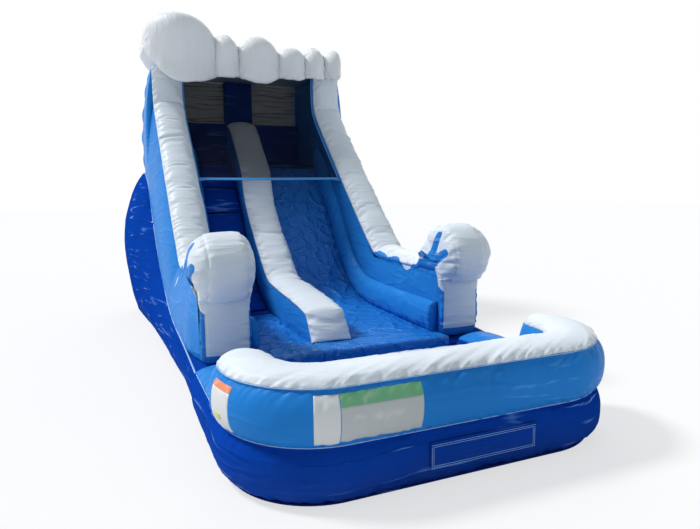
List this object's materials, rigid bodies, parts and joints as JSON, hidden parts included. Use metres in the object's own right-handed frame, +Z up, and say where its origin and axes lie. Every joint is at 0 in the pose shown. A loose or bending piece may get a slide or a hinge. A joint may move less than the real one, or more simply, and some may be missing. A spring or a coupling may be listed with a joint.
{
  "type": "inflatable water slide",
  "caption": "Inflatable water slide with a climbing lane, a slide lane, a wave crest over a netted platform and a splash pool.",
  "frame": {"origin": "centre of the bounding box on the ground", "axes": "front with the splash pool towards -Y, right side of the front view towards +X, up is +Z"},
  "size_m": [4.22, 8.4232, 4.9603],
  "materials": {
    "dark_blue_vinyl": "coated fabric, royal blue, semi-gloss",
    "light_blue_vinyl": "coated fabric, light blue, semi-gloss",
    "white_vinyl": "coated fabric, cool white, semi-gloss",
    "liner_blue_vinyl": "coated fabric, wet-look blue",
    "black_mesh": "open knitted mesh, black",
    "grey_mesh": "fine window mesh, grey-brown",
    "webbing_blue": "woven webbing, light blue",
    "zip_black": "zip tape, black",
    "ring_steel": "zinc-plated steel"
  },
  "bodies": {
    "slide_body": {"ground_sheet": "dark_blue_vinyl", "slide_hull": "dark_blue_vinyl", "platform_baffle_front": "dark_blue_vinyl", "platform_baffle_rear": "dark_blue_vinyl", "left_side_wall": "light_blue_vinyl", "right_side_wall": "light_blue_vinyl", "left_rear_column": "light_blue_vinyl", "right_rear_column": "light_blue_vinyl", "left_wave_front": "white_vinyl", "right_wave_front": "white_vinyl", "left_wall_cap": "white_vinyl", "right_wall_cap": "white_vinyl", "left_lane_bolster": "light_blue_vinyl", "right_lane_bolster": "light_blue_vinyl", "anchor_tab_left": "webbing_blue", "anchor_tab_right": "webbing_blue", "slide_bed": "dark_blue_vinyl", "climb_bed": "dark_blue_vinyl", "centre_pad": "dark_blue_vinyl", "slide_liner": "liner_blue_vinyl", "climb_liner": "liner_blue_vinyl", "centre_liner": "liner_blue_vinyl", "climb_step_1": "dark_blue_vinyl", "climb_step_2": "dark_blue_vinyl", "climb_step_3": "dark_blue_vinyl", "climb_step_4": "dark_blue_vinyl", "climb_step_5": "dark_blue_vinyl", "climb_step_6": "dark_blue_vinyl", "divider_body": "light_blue_vinyl", "divider_cap": "white_vinyl", "platform_pad": "liner_blue_vinyl", "rear_lower_wall": "dark_blue_vinyl", "rear_centre_column": "dark_blue_vinyl", "rear_window_left": "grey_mesh", "rear_window_right": "grey_mesh", "crest_bulge_1": "white_vinyl", "crest_bulge_2": "white_vinyl", "crest_bulge_3": "white_vinyl", "crest_bulge_4": "white_vinyl", "crest_bulge_5": "white_vinyl", "crest_bulge_6": "white_vinyl", "front_net": "black_mesh", "net_binding_left": "webbing_blue", "net_binding_right": "webbing_blue", "net_lower_webbing": "webbing_blue", "pool_base_tube": "dark_blue_vinyl", "pool_wall_band": "light_blue_vinyl", "pool_rim_cap": "white_vinyl", "exit_bumper_left": "light_blue_vinyl", "exit_bumper_right": "light_blue_vinyl", "pool_floor": "liner_blue_vinyl", "drain_zip_tape": "zip_black", "inflation_sleeve": "dark_blue_vinyl", "sleeve_tie": "webbing_blue"},
    "ring_left": {"anchor_ring_left": "ring_steel"},
    "ring_right": {"anchor_ring_right": "ring_steel"},
    "zip_slider": {"drain_zip_slider": "ring_steel"},
    "zip_flap": {"drain_zip_flap": "dark_blue_vinyl"}
  },
  "joints": [
    {"name": "ring_left_hinge", "type": "hinge", "parent": "slide_body", "child": "ring_left", "pos_m": [-1.5, 3.91315, 0.0193], "axis": [1, 0, 0], "range_deg": [0, 160]},
    {"name": "ring_right_hinge", "type": "hinge", "parent": "slide_body", "child": "ring_right", "pos_m": [1.5, 3.91315, 0.0193], "axis": [1, 0, 0], "range_deg": [0, 160]},
    {"name": "zip_slide", "type": "slide", "parent": "slide_body", "child": "zip_slider", "axis": [1, 0, 0], "range_m": [0, 0.83]},
    {"name": "zip_flap_hinge", "type": "hinge", "parent": "slide_body", "child": "zip_flap", "pos_m": [0.13, -4.2049, 0.355], "axis": [-1, 0, 0], "range_deg": [0, 150]}
  ]
}
